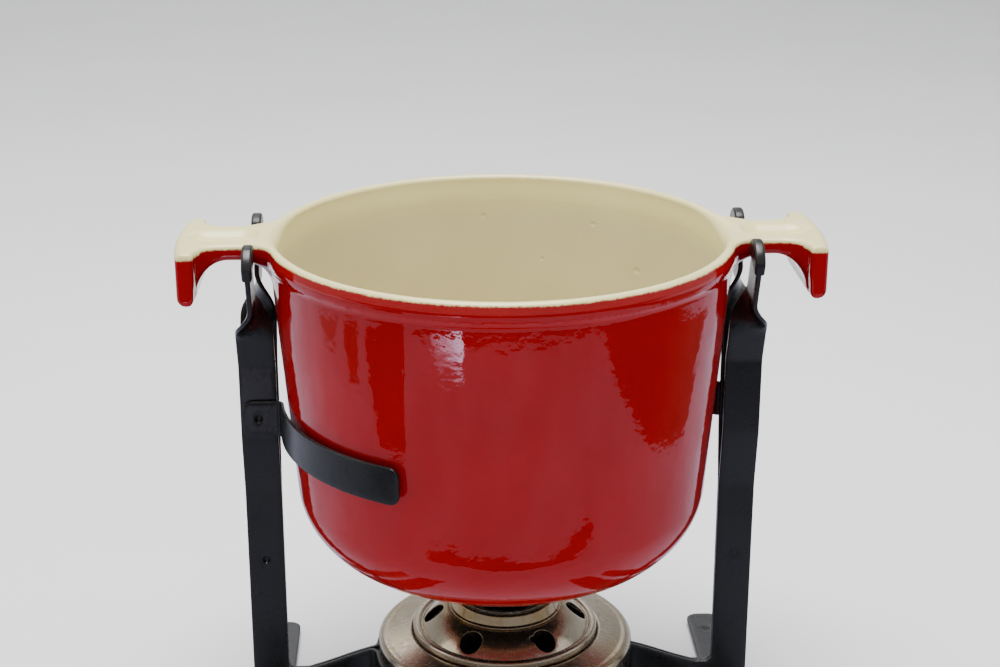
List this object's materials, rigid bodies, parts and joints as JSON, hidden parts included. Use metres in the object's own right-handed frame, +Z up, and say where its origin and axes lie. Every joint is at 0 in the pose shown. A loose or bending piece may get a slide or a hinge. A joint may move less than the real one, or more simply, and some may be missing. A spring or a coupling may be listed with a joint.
{
  "type": "fondue pot set",
  "caption": "Deep two-handled enamelled pot hung in the forks of a black strip-steel stand with guard arms, above a round stainless burner seated in a hoop.",
  "frame": {"origin": "on the table, directly below the pot's axis, at the middle of the four foot pads", "axes": "+Z up, +X along the pot's handles to the right-hand one, front of the set towards -Y"},
  "size_m": [0.258, 0.188, 0.2179],
  "materials": {
    "red_enamel": "gloss red enamel outside, cream enamel inside and over the lip",
    "black_paint": "satin black",
    "rivet_paint": "satin black",
    "black_plastic": "gloss",
    "pad_rubber": "matt",
    "stainless": "polished, with heat tint and fine scratches",
    "cup_steel": "brushed, dulled by heat",
    "wadding": "matt fibre"
  },
  "bodies": {
    "stand": {"front_frame": "black_paint", "back_frame": "black_paint", "front_left_cap": "black_plastic", "front_right_cap": "black_plastic", "back_left_cap": "black_plastic", "back_right_cap": "black_plastic", "front_arm": "black_paint", "back_arm": "black_paint", "left_leg_rivet": "rivet_paint", "right_leg_rivet": "rivet_paint", "front_arm_rivet": "rivet_paint", "back_arm_rivet": "rivet_paint", "front_left_foot_pad": "pad_rubber", "front_right_foot_pad": "pad_rubber", "back_left_foot_pad": "pad_rubber", "back_right_foot_pad": "pad_rubber"},
    "pot": {"pot": "red_enamel"},
    "burner": {"burner_housing": "stainless", "fuel_cup": "cup_steel", "fuel_wadding": "wadding", "wick_mesh": "cup_steel"},
    "cover": {"burner_cover": "stainless", "burner_collar": "stainless"}
  },
  "joints": [
    {"name": "pot_lift", "type": "slide", "parent": "stand", "child": "pot", "axis": [0, 0, 1], "range_m": [0, 0.15]},
    {"name": "burner_lift", "type": "slide", "parent": "stand", "child": "burner", "axis": [0, 0, 1], "range_m": [0, 0.012]},
    {"name": "cover_lift", "type": "slide", "parent": "burner", "child": "cover", "axis": [0, 0, 1], "range_m": [0, 0.009]}
  ]
}
